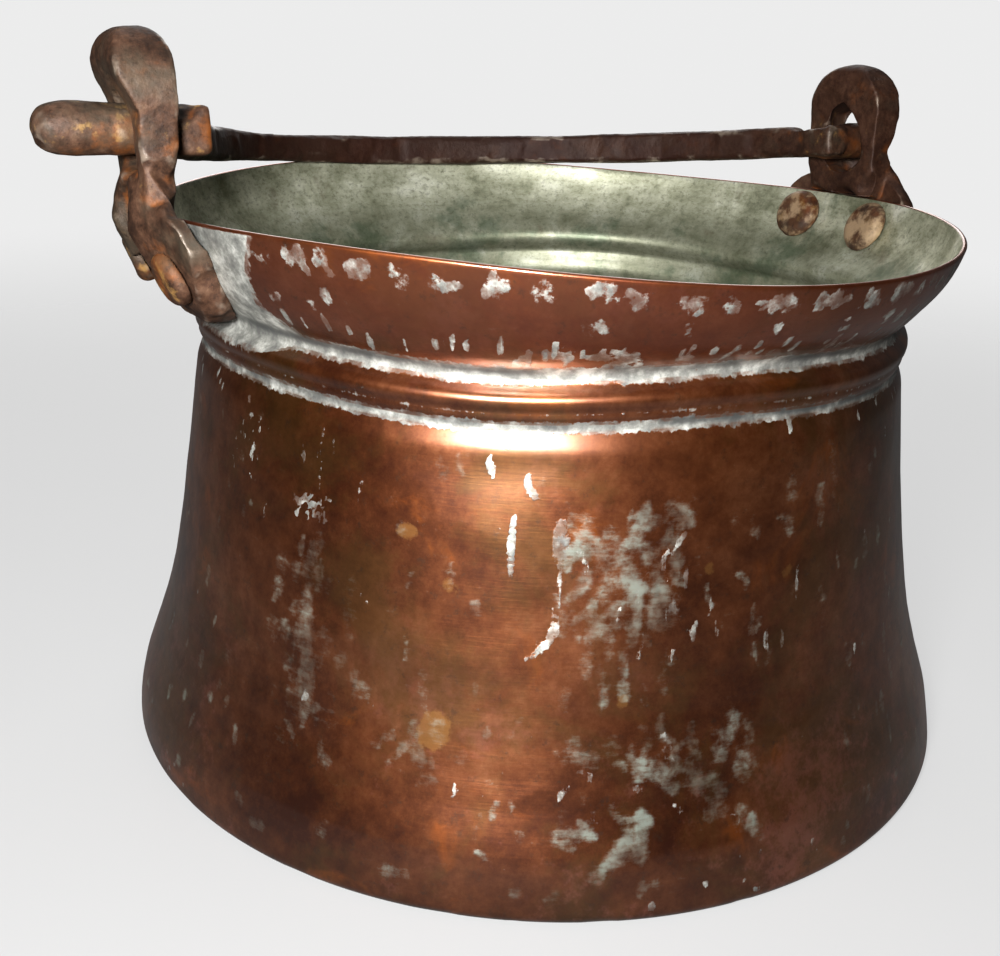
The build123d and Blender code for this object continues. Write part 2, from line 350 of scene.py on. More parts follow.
def bright_splashes(rng):
    """Spilt tin that still shines."""
    placed = [
        (-122.3, 113.0 * MM, 7 * MM, -0.5, 1.2, 0.9 * MM, 0.9),     # hook beside the highlight
        (-124.3, 98.0 * MM, 14 * MM, 0.0, 0.1, 0.9 * MM, 1.2),      # long upright streak
        (-118.2, 99.0 * MM, 10 * MM, 0.05, 0.0, 2.4 * MM, 0.62),    # broad dab
        (-118.2, 88.0 * MM, 10 * MM, 0.05, 0.3, 1.1 * MM, 0.60),    # drip below the dab
        (-119.6, 75.0 * MM, 16 * MM, 0.55, -1.5, 1.2 * MM, 0.72),   # hook below the drip
    ]
    return placed + scatter_all(rng, [
        # flecks at the highlight
        (3, (-128.5, -126.5), (117, 120), (3, 4), (0.6, 0.7), 0.1, 0.2, (0.8, 0.9)),
        # streaks, specks and small flecks towards the left ear
        (5, (-154, -143), (106, 118), (6, 11), (0.6, 0.8), 0.25, 0.3, (0.45, 0.65)),
        (60, (-155, -149), (96, 103), (0.5, 1.2), (0.4, 0.6), 1.2, 1.0, (0.5, 0.9)),
        (30, (-169, -161), (100, 118), (0.8, 2.0), (0.4, 0.6), 0.6, 1.0, (0.5, 0.8)),
        # curls in the upper and the lower smear, and streaks beside them
        (9, (-118, -100), (66, 104), (3, 9), (0.7, 1.0), 0.5, 2.2, (0.45, 0.65)),
        (8, (-117, -94), (24, 48), (3, 7), (0.7, 1.2), 1.2, 2.6, (0.45, 0.65)),
        (7, (-104, -84), (66, 94), (4, 10), (0.7, 0.9), 0.2, 0.8, (0.45, 0.65)),
        # flecks all round, longer ones on the far side, and spots along the foot
        (30, (-180, 180), (25, 120), (1, 5), (0.6, 0.9), 0.3, 0.8, (0.4, 0.65)),
        (12, (-40, 170), (60, 112), (5, 13), (0.7, 1.4), 0.4, 1.6, (0.5, 0.7)),
        (30, (-180, 180), (3, 14), (0.8, 2.4), (0.6, 1.3), 1.4, 1.0, (0.45, 0.75)),
    ])


def dull_smears(rng):
    """Tin worn thin and grey, with the copper showing through."""
    return scatter_all(rng, [
        # the upper smear, its drips, and the lower smear
        (46, (-118, -103), (74, 106), (4, 12), (1.2, 2.8), 0.9, 2.6, (0.45, 1.0)),
        (14, (-117, -104), (54, 76), (3, 9), (0.9, 1.9), 0.3, 1.2, (0.35, 0.8)),
        (46, (-118, -93), (20, 50), (3, 10), (1.1, 2.6), 1.3, 2.8, (0.45, 1.0)),
        # a long upright smear on the left, with blots on it and below it
        (26, (-153, -149.5), (44, 92), (4, 14), (1.0, 2.2), 0.12, 0.4, (0.5, 1.0)),
        (24, (-158, -143), (58, 86), (1, 5), (1.2, 2.6), 0.5, 1.0, (0.4, 0.85)),
        (28, (-156, -126), (34, 56), (1, 6), (1.0, 2.4), 1.2, 1.5, (0.4, 0.85)),
        # curls on the right, and marks by the left edge, by the right edge and between
        (12, (-100, -80), (60, 112), (4, 9), (0.9, 2.0), 0.5, 2.6, (0.5, 0.9)),
        (24, (-178, -158), (22, 120), (1, 5), (0.8, 1.8), 0.3, 1.0, (0.4, 0.9)),
        (40, (-80, -45), (18, 122), (2, 8), (0.8, 1.9), 0.3, 1.2, (0.4, 0.8)),
        (40, (-140, -80), (24, 118), (2, 7), (0.8, 1.7), 0.4, 1.2, (0.3, 0.7)),
        # the far side, and the foot all round
        (150, (-45, 180), (18, 120), (2, 11), (0.9, 2.4), 0.7, 2.4, (0.4, 1.0)),
        (60, (-180, 180), (4, 20), (1, 4), (1.0, 2.2), 1.4, 1.4, (0.5, 0.9)),
    ])


def collar_dabs(rng):
    """Two uneven rows of dabs below the lip."""
    dabs = []
    angle = -180.0
    while angle < 180.0:
        spot = (angle, angle + 2.4)
        dabs += scatter(rng, 4, spot, (161.5, 165.0), (1, 4), (0.9, 2.3), 1.6, 1.5, (0.5, 0.85))
        if rng.random() < 0.7:
            dabs += scatter(rng, 2, spot, (151.5, 157.5), (1, 4), (0.8, 2.0), 1.6, 1.0, (0.45, 0.75))
        angle += rng.uniform(2.6, 6.6)
    return dabs


def edge_flecks(rng):
    """Short upright flecks above the upper band and below the lower, and dabs on the upper."""
    return scatter_all(rng, [
        (170, (-180, 180), (145.5, 150.5), (1.5, 4.5), (0.5, 0.9), 0.15, 0.1, (0.8, 1.1)),
        (24, (-180, 180), (120.5, 125.0), (1.5, 3.5), (0.5, 0.9), 0.15, 0.1, (0.8, 1.1)),
        (60, (-180, 180), (144.0, 147.5), (3, 9), (0.9, 1.7), 1.7, 0.3, (0.6, 0.9)),
    ])


def stains(rng):
    """Round orange spots where something was spilt."""
    spots = [(-132.4, 48.0 * MM, 3 * MM, 0.1, 0.0, 4.2 * MM, 1.0)]
    spots += scatter(rng, 14, (-180, 180), (25, 115), (1, 4), (1.0, 3.0), 1.5, 1.0, (0.5, 0.9))
    return spots


def stroke_field(angle, height, strokes):
    """How much tin each wall point carries from a list of strokes, as scatter() makes them."""
    order = np.argsort(height, kind="stable")
    sorted_height = height[order]
    field = np.zeros(len(height))
    for around, middle, length, lean, bend, width, strength in strokes:
        reach = length + 2 * width
        low, high = np.searchsorted(sorted_height, (middle - reach, middle + reach))
        near = order[low:high]
        across = np.radians(angle[near] - around) * float(wall_radius(middle))
        near = near[np.abs(across) < reach]
        if not len(near):
            continue
        across = across[np.abs(across) < reach]
        line = bow(middle, length, lean, bend)
        half_widths = width * (0.35 + 0.65 * np.sqrt(1 - np.linspace(-0.95, 0.95, len(line)) ** 2))
        gap = np.hypot(across[:, None] - line[:, 0], height[near, None] - line[:, 1]) / half_widths
        field[near] = np.maximum(field[near], strength * np.clip(1.6 - gap.min(1), 0, 1))
    return field


def band_field(height, low, high, fade):
    """1 inside a level band, falling to 0 over fade on each side."""
    return np.clip(1 + np.minimum(height - low, high - height) / fade, 0, 1)


def flood_field(angle, height, foot_angle):
    """Tin flooded round an ear's foot, widest at the lip and where it joins the upper band."""
    away = np.abs((angle - foot_angle + 180) % 360 - 180)
    half_width = np.interp(height / MM, FLOOD_HEIGHTS, FLOOD_HALF_WIDTHS)
    side = np.clip(1 + (half_width - away) / FLOOD_FADE, 0, 1)
    return side * smoothstep(*FLOOD_FOOT, height)


def tin_fields(angle, height):
    """Bright tin, dull tin and stains on the outer wall, before the shader breaks them up."""
    wrapped = (angle + 180) % 360 - 180
    rng = random.Random(BRIGHT_SEED)
    bright = stroke_field(wrapped, height, bright_splashes(rng) + collar_dabs(rng) + edge_flecks(rng))
    bright = np.maximum(bright, band_field(height, *LOWER_BAND, BAND_FADE))
    bright = np.maximum(bright, band_field(height, *UPPER_BAND, BAND_FADE))
    bright = np.maximum(bright, 0.55 * band_field(height, STEP_LINE, STEP_LINE, BAND_FADE / 2))
    for foot_angle in (180.0, 0.0):
        bright = np.maximum(bright, flood_field(wrapped, height, foot_angle))
    dull = stroke_field(wrapped, height, dull_smears(random.Random(DULL_SEED)))
    stained = stroke_field(wrapped, height, stains(random.Random(STAIN_SEED)))
    return bright, dull, stained


def build_vessel(copper):
    rows, inside = vessel_profile()
    vertices, angle, plain_height = vessel_shape(rows)
    middles = [(0, 0, rows[0, 1]), (0, 0, rows[-1, 1])]
    made = new_object("copper_vessel", np.concatenate([vertices, middles]), ring_faces(len(rows)))
    inside = np.concatenate([np.repeat(inside, RING_POINTS), [0.0, 1.0]])
    angle = np.concatenate([angle, [0.0, 0.0]])
    plain_height = np.concatenate([plain_height, [0.0, 0.0]])
    outer = inside < 0.4
    fields = tin_fields(angle[outer], plain_height[outer])
    for name, values in zip(("bright_tin", "dull_tin", "stained"), fields):
        field = np.zeros(len(inside))
        field[outer] = values
        set_attribute(made, name, field)
    set_attribute(made, "inside", inside)
    set_attribute(made, "plain_height", plain_height)
    stand_for(made, "vessel", "pail", copper)


# ------------------------------------------------------------------ forged iron shapes
def lump(middle, radii, turn, squareness):
    """A closed lump; turn is Euler angles in degrees. A squareness of 1 is an ellipsoid."""
    rings, sides = 12, 24
    rotation = Matrix.Rotation(math.radians(turn[2]), 3, "Z")
    rotation = rotation @ Matrix.Rotation(math.radians(turn[1]), 3, "Y")
    rotation = rotation @ Matrix.Rotation(math.radians(turn[0]), 3, "X")
    points = [(0, 0, -1)]
    for ring in range(1, rings):
        fall = math.pi * ring / rings
        for side in range(sides):
            around = 2 * math.pi * side / sides
            wide = math.sin(fall)
            points.append((wide * math.cos(around), wide * math.sin(around), -math.cos(fall)))
    points.append((0, 0, 1))
    faces = []
    for side in range(sides):
        after = (side + 1) % sides
        faces.append((0, 1 + after, 1 + side))
        for ring in range(rings - 2):
            low, high = 1 + ring * sides, 1 + (ring + 1) * sides
            faces.append((low + side, low + after, high + after, high + side))
        top = 1 + (rings - 2) * sides
        faces.append((top + side, top + after, len(points) - 1))
    squared = [[math.copysign(abs(value) ** squareness, value) for value in point] for point in points]
    placed = [Vector(middle) + rotation @ Vector(p[i] * radii[i] for i in range(3)) for p in squared]
    return placed, faces


def even_skin(name, voxel, *solids):
    """Join closed (points, faces) solids into one object with an even skin of small quads."""
    points, faces = [], []
    for solid_points, solid_faces in solids:
        start = len(points)
        points.extend(solid_points)
        faces.extend([tuple(start + i for i in face) for face in solid_faces])
    rough = new_object(name + "_rough", points, faces)
    remesh = rough.modifiers.new("skin", "REMESH")
    remesh.mode = "VOXEL"
    remesh.voxel_size = voxel
    graph = bpy.context.evaluated_depsgraph_get()
    mesh = bpy.data.meshes.new_from_object(rough.evaluated_get(graph))
    bpy.data.objects.remove(rough)
    return link(name, mesh)


def cad_solid(node):
    """A CAD node's mesh as (points, faces)."""
    mesh = frame["nodes"][node].data
    return [v.co.copy() for v in mesh.vertices], [tuple(p.vertices) for p in mesh.polygons]


class Skin:
    """Numpy view of an object's mesh, for smoothing and hammering it."""

    def __init__(self, made):
        self.made = made
        flat = np.empty(len(made.data.vertices) * 3)
        made.data.vertices.foreach_get("co", flat)
        self.points = flat.reshape(-1, 3)
        edges = np.empty(len(made.data.edges) * 2, np.int64)
        made.data.edges.foreach_get("vertices", edges)
        edges = edges.reshape(-1, 2)
        self.ends = np.concatenate([edges, edges[:, ::-1]])
        self.links = np.bincount(self.ends[:, 0], minlength=len(self.points))[:, None]

    def around(self, values):
        """The mean of the neighbours' values at each point."""
        total = np.zeros_like(values)
        for column in range(values.shape[1]):
            total[:, column] = np.bincount(
                self.ends[:, 0], weights=values[self.ends[:, 1], column], minlength=len(values)
            )
        return total / self.links

    def smooth(self, times, share=0.5):
        """share may be one number or a column with a number for each point."""
        for _ in range(times):
            self.points += (self.around(self.points) - self.points) * share

    def store(self):
        self.made.data.vertices.foreach_set("co", self.points.ravel())
        self.made.data.update()

    def normals(self):
        self.store()
        return np.array([v.normal for v in self.made.data.vertices])

    def swell(self, amount):
        """Move every point along its normal."""
        self.points += self.normals() * amount[:, None]

    def hammer(self, rng, blows, reach, depth):
        """Flatten the skin at seeded places, as hammer blows do."""
        facing = self.normals()
        for _ in range(blows):
            struck = rng.randrange(len(self.points))
            normal = facing[struck]
            offset = self.points - self.points[struck]
            above = np.clip(offset @ normal + rng.uniform(*depth), 0, None)
            away = np.linalg.norm(offset, axis=1) / rng.uniform(*reach)
            hit = smoothstep(0, 0.35, 1 - away) * smoothstep(0.2, 0.6, facing @ normal)
            self.points -= (above * hit)[:, None] * normal

    def finish(self):
        """Store the shape, with attributes for worn arrises and for hollows."""
        facing = self.normals()
        bend = ((self.points - self.around(self.points)) * facing).sum(1)[:, None]
        for _ in range(6):
            bend = (bend + self.around(bend)) / 2
        bend = bend[:, 0] / max(float(np.abs(bend).std()), 1e-9)
        set_attribute(self.made, "worn", np.clip(bend, 0, 3) / 3)
        set_attribute(self.made, "hollow", np.clip(-bend, 0, 3) / 3)
        self.made.data.polygons.foreach_set("use_smooth", [True] * len(self.made.data.polygons))


def near_eye(points):
    """1 on the hinge line at either ear, falling to 0 at EYE_REACH from it."""
    hinge = HINGE_HEIGHT - HINGE_SLOPE * points[:, 0]
    away = np.hypot(points[:, 1], points[:, 2] - hinge)
    at_ear = np.clip((np.abs(points[:, 0]) - 100 * MM) / (12 * MM), 0, 1)
    return np.clip(1 - away / EYE_REACH, 0, 1) * at_ear


def iron_painted_shade(points):
    """Painted shade on the iron: the bail between the ears is painted darkest, and the right ear,
    further from the key light, darker than the left.
    """
    between_ears = 1 - smoothstep(100 * MM, 112 * MM, np.abs(points[:, 0]))
    right_ear = (points[:, 0] > 0) * (np.hypot(points[:, 0], points[:, 1]) > 114 * MM)
    return np.maximum(between_ears, 0.55 * right_ear)


def forge(name, node, seed, voxel, soften, blows, reach, depth, lumps=(), shape=None, tinned=0.0):
    """A hand-forged copy of a CAD node: softened, hammered and pitted. tinned is for its inner end."""
    made = even_skin(name, voxel, cad_solid(node), *lumps)
    skin = Skin(made)
    skin.smooth(soften)
    if shape:
        shape(skin)
    swell_scale, swell_depth = IRON_SWELLS
    pit_scale, pit_depth = IRON_PITS
    skin.swell(uneven(skin.points, swell_scale, seed, swell_depth))
    skin.hammer(random.Random(seed), blows, reach, depth)
    skin.smooth(2)
    skin.swell(uneven(skin.points, pit_scale, seed + 1, pit_depth))
    skin.finish()
    inside = np.hypot(skin.points[:, 0], skin.points[:, 1]) < wall_radius(skin.points[:, 2])
    set_attribute(made, "near_eye", np.maximum(tinned, near_eye(skin.points)))
    set_attribute(made, "tinned", tinned * inside)
    # painted shade: darkest on the bail, less on the right ear
    set_attribute(made, "iron_painted_shade", iron_painted_shade(skin.points))
    return made


def leaf_lump(side, end, share):
    """One lump of a leaf: share is 0 for its top lump and 1 for its lowest."""
    belly = math.sin(math.pi * share)
    height = (LEAF_TOP - LEAF_DROP * share) * MM
    stand_off = 3.9 + 1.0 * belly + 1.2 * (1 - share)
    out = wall_radius(min(height, COLLAR_TOP)) + stand_off * MM
    turn = end * (LEAF_ROOT + LEAF_SPREAD * share ** 0.8)
    face = turn + end * LEAF_TWIST
    if side < 0:
        turn = 180 - turn
        face = 180 - face
    around = math.radians(turn)
    middle = (out * math.cos(around), out * math.sin(around), height)
    swell = 0.86 + 0.24 * belly
    radii = (LEAF_THICKNESS, LEAF_WIDTH * swell, LEAF_LENGTH * swell)
    return lump(middle, radii, (0, COLLAR_LEAN, face), squareness=0.6)


def foot_leaves(side):
    """The two leaf-shaped lobes of an ear's foot, lying on the collar each side of the middle."""
    shares = np.linspace(0, 1, LEAF_LUMPS)
    return [leaf_lump(side, end, share) for end in (-1, 1) for share in shares]


def draw_in_waist(skin):
    """Draw an ear in at the waist between its eye and its foot."""
    side = np.sign(skin.points[:, 0])
    middle = np.where(side < 0, LEFT_LEG_MIDDLE, RIGHT_LEG_MIDDLE)
    waist = 1 - smoothstep(4 * MM, 12 * MM, np.abs(skin.points[:, 2] - EAR_WAIST))
    depth = skin.points[:, 0] * side - middle
    skin.points[:, 0] = side * (middle + depth * (1 - 0.16 * waist))
    skin.points[:, 1] *= 1 + 0.05 * waist
    skin.smooth(14, 0.5 * waist[:, None])


def build_ears(iron):
    for name, side, seed in (("left", -1, 21), ("right", 1, 22)):
        ear = forge(
            f"iron_ear_{name}", f"ear_{name}", seed, voxel=0.62 * MM, soften=9,
            blows=110, reach=(6 * MM, 12 * MM), depth=(0.05 * MM, 0.40 * MM),
            lumps=foot_leaves(side), shape=draw_in_waist,
        )
        stand_for(ear, f"ear_{name}", "pail", iron)


def draw_out(skin):
    """The smith drew the bar out unevenly: thick at the left, thin left of the middle."""
    turn = np.degrees(np.arctan2(skin.points[:, 1], skin.points[:, 0]))
    bar = smoothstep(8, 20, turn) * (1 - smoothstep(160, 172, turn))
    thick = np.interp(turn, BAR_PLACES, BAR_THICKENING)
    skin.swell((thick + noise_at(skin.points, *BAR_UNEVENNESS) * 0.5) * bar * MM)
    left = -skin.points[:, 0]
    butt = smoothstep(131 * MM, 135 * MM, left)
    skin.swell(butt * np.interp(left, LEFT_BUTT, LEFT_BUTT_THICKENING))
    block = smoothstep(100 * MM, 105 * MM, left) * (1 - smoothstep(116 * MM, 121 * MM, left))
    skin.smooth(16, 0.5 * block[:, None])


def build_bail(iron):
    bail = forge(
        "iron_bail", "bail_handle", seed=31, voxel=0.72 * MM, soften=5,
        blows=170, reach=(7 * MM, 16 * MM), depth=(0.02 * MM, 0.28 * MM), shape=draw_out,
    )
    stand_for(bail, "bail_handle", "bail", iron)


def build_rivets(iron):
    names = [f"{side}_{end}" for side in ("left", "right") for end in ("front", "back")]
    for seed, name in enumerate(names, start=41):
        rivet = forge(
            f"iron_rivet_{name}", f"rivet_{name}", seed, voxel=0.4 * MM, soften=3,
            blows=12, reach=(4 * MM, 8 * MM), depth=(0.1 * MM, 0.5 * MM), tinned=0.8,
        )
        stand_for(rivet, f"rivet_{name}", "pail", iron)


# ------------------------------------------------------------------ stage, light and camera
CAMERA_REACH = 390.5 * MM     # from the pail's axis
CAMERA_HEIGHT = 215.6 * MM
CAMERA_AZIMUTH = -121.0       # where the camera stands round the pail
CAMERA_YAW = 2.126            # degrees it is turned to the left of the axis
CAMERA_PITCH = 19.98          # degrees down
CAMERA_ROLL = 2.045           # degrees
LENS = 43.2                   # millimetres, on a sensor 36 mm wide
AIM = (0, 0, 0.1)             # the middle of the pail
KEY_AZIMUTH = -129.0          # the key light stands just left of the lens
KEY_REACH = 410 * MM
KEY_HEIGHT = 250 * MM
KEY_SIZE = 0.09
KEY_POWER = 3.1
OVERHEAD_PLACE = (0.2, 0.3, 2.2)
OVERHEAD_SIZE = 2.6
OVERHEAD_POWER = 7.5
FILL_PLACE = (0.7, 1.3, 0.9)  # behind the pail, for views from the back
FILL_SIZE = 1.4
FILL_POWER = 12.0
BACKDROP = (0.71, 0.71, 0.71)
ROOM_BEHIND_CAMERA = 0.010
ROOM_BEHIND_PAIL = 0.075
ROOM_RISE = 0.25              # how far up the bright side of the room is turned
FLOOR_HALF = 3.0
FLOOR_TONES = ((0.3, (0.10, 0.10, 0.10)), (0.7, (0.115, 0.115, 0.115)))
FLOOR_GLOW = 0.51             # keeps the floor as pale as the backdrop where the key light falls off
FLOOR_GLOW_IN_METAL = 0.03
FLOOR_FADE = (0.42, 1.15)     # the floor fades into the backdrop between these distances


def away_from(azimuth, reach, height):
    """A place at an azimuth round the pail."""
    turn = math.radians(azimuth)
    return Vector((reach * math.cos(turn), reach * math.sin(turn), height))


def make_camera():
    data = bpy.data.cameras.new("camera")
    data.lens = LENS
    data.sensor_width = 36.0
    data.clip_start = 0.01
    camera = link("camera", data)
    heading = math.radians(CAMERA_AZIMUTH) + math.pi / 2 + math.radians(CAMERA_YAW)
    look = (
        Matrix.Rotation(heading, 4, "Z")
        @ Matrix.Rotation(math.radians(90 - CAMERA_PITCH), 4, "X")
        @ Matrix.Rotation(math.radians(CAMERA_ROLL), 4, "Z")
    )
    place = away_from(CAMERA_AZIMUTH, CAMERA_REACH, CAMERA_HEIGHT)
    camera.matrix_world = Matrix.Translation(place) @ look
    bpy.context.scene.camera = camera


def area_light(name, place, target, size, power):
    data = bpy.data.lights.new(name, "AREA")
    data.shape = "DISK"
    data.size = size
    data.energy = power
    light = link(name, data)
    light.location = place
    light.rotation_euler = (Vector(target) - Vector(place)).to_track_quat("-Z", "Y").to_euler()


def make_lights():
    area_light("key", away_from(KEY_AZIMUTH, KEY_REACH, KEY_HEIGHT), AIM, KEY_SIZE, KEY_POWER)
    area_light("overhead", OVERHEAD_PLACE, (0, 0, 0), OVERHEAD_SIZE, OVERHEAD_POWER)
    area_light("fill", FILL_PLACE, AIM, FILL_SIZE, FILL_POWER)


def make_world():
    """A pale backdrop all round for the camera. The metal sees it dim, and dark behind the camera."""
    world = bpy.data.worlds.new("world")
    nodes = Nodes(world)
    facing = nodes.add("VectorMath")
    facing.operation = "DOT_PRODUCT"
    nodes.put(facing.inputs[0], nodes.add("TexCoord").outputs["Generated"])
    nodes.put(facing.inputs[1], away_from(CAMERA_AZIMUTH, -1, ROOM_RISE))
    fade = nodes.add("MapRange", From_Min=-0.2, From_Max=0.9, Value=facing.outputs["Value"])
    nodes.fill(fade, To_Min=ROOM_BEHIND_CAMERA, To_Max=ROOM_BEHIND_PAIL)
    room = nodes.add("Background", Strength=fade.outputs["Result"])
    seen = nodes.add("Background", Color=BACKDROP)
    mix = nodes.add("MixShader", Fac=nodes.add("LightPath").outputs["Is Camera Ray"])
    nodes.put(mix.inputs[1], room.outputs[0])
    nodes.put(mix.inputs[2], seen.outputs[0])
    nodes.add("OutputWorld", Surface=mix.outputs[0])
    bpy.context.scene.world = world


def make_floor(material):
    half = FLOOR_HALF
    corners = [(-half, -half, 0), (half, -half, 0), (half, half, 0), (-half, half, 0)]
    floor = new_object("floor", corners, [(0, 1, 2, 3)])
    floor.data.materials.append(material)


# ------------------------------------------------------------------ materials
COPPER_TONES = (
    (0.38, (0.085, 0.018, 0.003)),
    (0.45, (0.140, 0.038, 0.008)),
    (0.52, (0.215, 0.066, 0.019)),
    (0.60, (0.300, 0.110, 0.042)),
    (0.68, (0.410, 0.188, 0.100)),
)
OLIVE_OXIDE = (0.130, 0.072, 0.014)
RED_OXIDE = (0.300, 0.070, 0.026)
ORANGE_OXIDE = (0.440, 0.120, 0.014)
# pink patches; near the bottom of the wall also a painted reflection of the floor
PINK_RUB_AND_FLOOR_REFLECTION = (0.480, 0.180, 0.125)
COPPER_SPECK = (0.075, 0.040, 0.020)
STAIN = (0.420, 0.200, 0.055)
FOOT_GREEN = (0.035, 0.050, 0.026)
DULL_TIN = (0.300, 0.365, 0.320)
TIN_TONES = (
    (0.35, (0.17, 0.17, 0.16)),
    (0.50, (0.33, 0.33, 0.30)),
    (0.64, (0.66, 0.66, 0.61)),
)
# painted shade laid into the grooves of the tin bands
GROOVE_PAINTED_SHADE = (0.090, 0.092, 0.090)
PAINTED_SHADE_LEVELS = (142.0 * MM, 128.6 * MM)         # painted shade in the upper half of each groove
LINING_TONES = (
    (0.38, (0.230, 0.240, 0.160)),
    (0.46, (0.420, 0.425, 0.310)),
    (0.54, (0.600, 0.605, 0.470)),
    (0.64, (0.860, 0.860, 0.740)),
)
LINING_STREAK = (0.150, 0.150, 0.095)
LINING_SHADE = (0.120, 0.125, 0.080)
LINING_GREEN = (0.060, 0.105, 0.060)
LINING_BROWN = (0.130, 0.095, 0.055)
LINING_SPECK = (0.090, 0.095, 0.060)
LIP_EDGE = (0.070, 0.045, 0.025)
RUST_TONES = (
    (0.36, (0.018, 0.009, 0.006)),
    (0.46, (0.048, 0.024, 0.014)),
    (0.55, (0.098, 0.050, 0.030)),
    (0.66, (0.172, 0.102, 0.063)),
)
ORANGE_RUST = (0.270, 0.085, 0.014)
YELLOW_RUST = (0.460, 0.270, 0.090)
GREY_RUST = (0.080, 0.066, 0.046)
RUST_SPECK = (0.018, 0.009, 0.006)
# painted shade for the bail and the right ear
RUST_IN_PAINTED_SHADE = (0.032, 0.008, 0.004)
TINNED_RUST = (0.440, 0.320, 0.200)
WORN_IRON = (0.330, 0.270, 0.215)


class Nodes:
    """A new node tree on a world or a material."""

    def __init__(self, owner):
        owner.use_nodes = True
        self.tree = owner.node_tree
        self.tree.nodes.clear()

    def put(self, socket, value):
        if isinstance(value, bpy.types.NodeSocket):
            self.tree.links.new(value, socket)
        elif isinstance(value, tuple) and socket.type == "RGBA":
            socket.default_value = (*value, 1.0)
        else:
            socket.default_value = value

    def fill(self, node, **inputs):
        """Set a node's inputs by name, with _ for a space."""
        for name, value in inputs.items():
            self.put(node.inputs[name.replace("_", " ")], value)

    def add(self, kind, **inputs):
        node = self.tree.nodes.new("ShaderNode" + kind)
        self.fill(node, **inputs)
        return node


class Shader(Nodes):
    """A small builder for node materials. Its methods return output sockets."""

    def __init__(self, name):
        self.material = bpy.data.materials.new(name)
        super().__init__(self.material)

    def surface(self, **inputs):
        """Close the material with its surface, and return it."""
        surface = self.add("BsdfPrincipled", **inputs)
        self.add("OutputMaterial", Surface=surface.outputs[0])
        return self.material

    def position(self):
        return self.add("TexCoord").outputs["Object"]

    def attribute(self, name):
        node = self.add("Attribute")
        node.attribute_name = name
        return node.outputs["Fac"]

    def noise(self, scale, detail=4.0, roughness=0.6, vector=None, distortion=0.0):
        node = self.add("TexNoise", Vector=vector or self.position(), Scale=scale, Detail=detail)
        self.fill(node, Roughness=roughness, Distortion=distortion)
        return node.outputs["Fac"]

    def drawn_out(self, across, up, detail, roughness):
        """Noise on the wall rolled flat; across is in cells per radian round the pail."""
        split = self.add("SeparateXYZ", Vector=self.position())
        turn = self.maths("ARCTAN2", split.outputs[1], split.outputs[0])
        flat = self.add("CombineXYZ", X=self.times(turn, across), Y=self.times(split.outputs[2], up))
        return self.noise(1.0, detail, roughness, vector=flat.outputs[0])

    def patches(self, low, high, scale, detail=4.0, roughness=0.6, distortion=0.0):
        """Soft-edged patches: 1 where noise is above high and 0 where it is below low."""
        return self.step(self.noise(scale, detail, roughness, distortion=distortion), low, high)

    def maths(self, operation, first, second=0.0):
        node = self.add("Math")
        node.operation = operation
        self.put(node.inputs[0], first)
        self.put(node.inputs[1], second)
        return node.outputs[0]

    def times(self, first, second):
        return self.maths("MULTIPLY", first, second)

    def plus(self, first, second):
        return self.maths("ADD", first, second)

    def minus(self, first, second):
        return self.maths("SUBTRACT", first, second)

    def step(self, value, low, high):
        """0 below low, 1 above high and smooth between."""
        node = self.add("MapRange", Value=value, From_Min=low, From_Max=high)
        node.interpolation_type = "SMOOTHSTEP"
        return node.outputs["Result"]

    def mix(self, share, first, second):
        """Two colours: the first where share is 0 and the second where it is 1."""
        node = self.add("Mix", Factor=share)
        node.data_type = "RGBA"
        self.put(node.inputs[6], first)
        self.put(node.inputs[7], second)
        return node.outputs[2]

    def tint(self, colour, share, strength, second):
        """Mix, with the share turned down to a strength."""
        return self.mix(self.times(share, strength), colour, second)

    def blend(self, share, first, second):
        """Two numbers: the first where share is 0 and the second where it is 1."""
        return self.add("Mix", Factor=share, A=first, B=second).outputs[0]

    def ramp(self, value, *stops):
        node = self.add("ValToRGB", Fac=value)
        colours = node.color_ramp
        while len(colours.elements) < len(stops):
            colours.elements.new(0.5)
        for element, (place, colour) in zip(colours.elements, stops):
            element.position = place
            element.color = (*colour, 1.0)
        return node.outputs[0]

    def bump(self, height, distance, strength):
        return self.add("Bump", Height=height, Distance=distance, Strength=strength).outputs[0]


def copper_colour(shader, height):
    """Tarnished copper: brown and olive oxide with red, orange and pink where it is rubbed, the pink
    turned up low on the wall as a painted floor reflection.
    """
    wide = shader.noise(13.0, 6.0, 0.66, distortion=0.25)
    fine = shader.noise(110.0, 6.0, 0.78)
    tone = shader.plus(shader.times(wide, 0.62), shader.times(fine, 0.38))
    colour = shader.ramp(tone, *COPPER_TONES)
    olive = shader.patches(0.46, 0.62, 22.0, 6.0, 0.7, distortion=0.4)
    colour = shader.tint(colour, olive, 0.45, OLIVE_OXIDE)
    collar = shader.step(height, 144 * MM, 150 * MM)
    colour = shader.tint(colour, collar, 0.45, RED_OXIDE)
    orange = shader.patches(0.58, 0.72, 31.0, 5.0, 0.6, distortion=0.8)
    colour = shader.tint(colour, orange, 0.55, ORANGE_OXIDE)
    # painted reflection of the floor: the pink patches are stronger near the bottom of the wall
    low = shader.minus(1.0, shader.step(height, 20 * MM, 70 * MM))
    pink = shader.times(shader.patches(0.52, 0.66, 24.0, 6.0, 0.78), shader.blend(low, 0.12, 0.50))
    colour = shader.mix(pink, colour, PINK_RUB_AND_FLOOR_REFLECTION)
    return shader.tint(colour, shader.patches(0.56, 0.70, 260.0, 5.0, 0.75), 0.5, COPPER_SPECK)


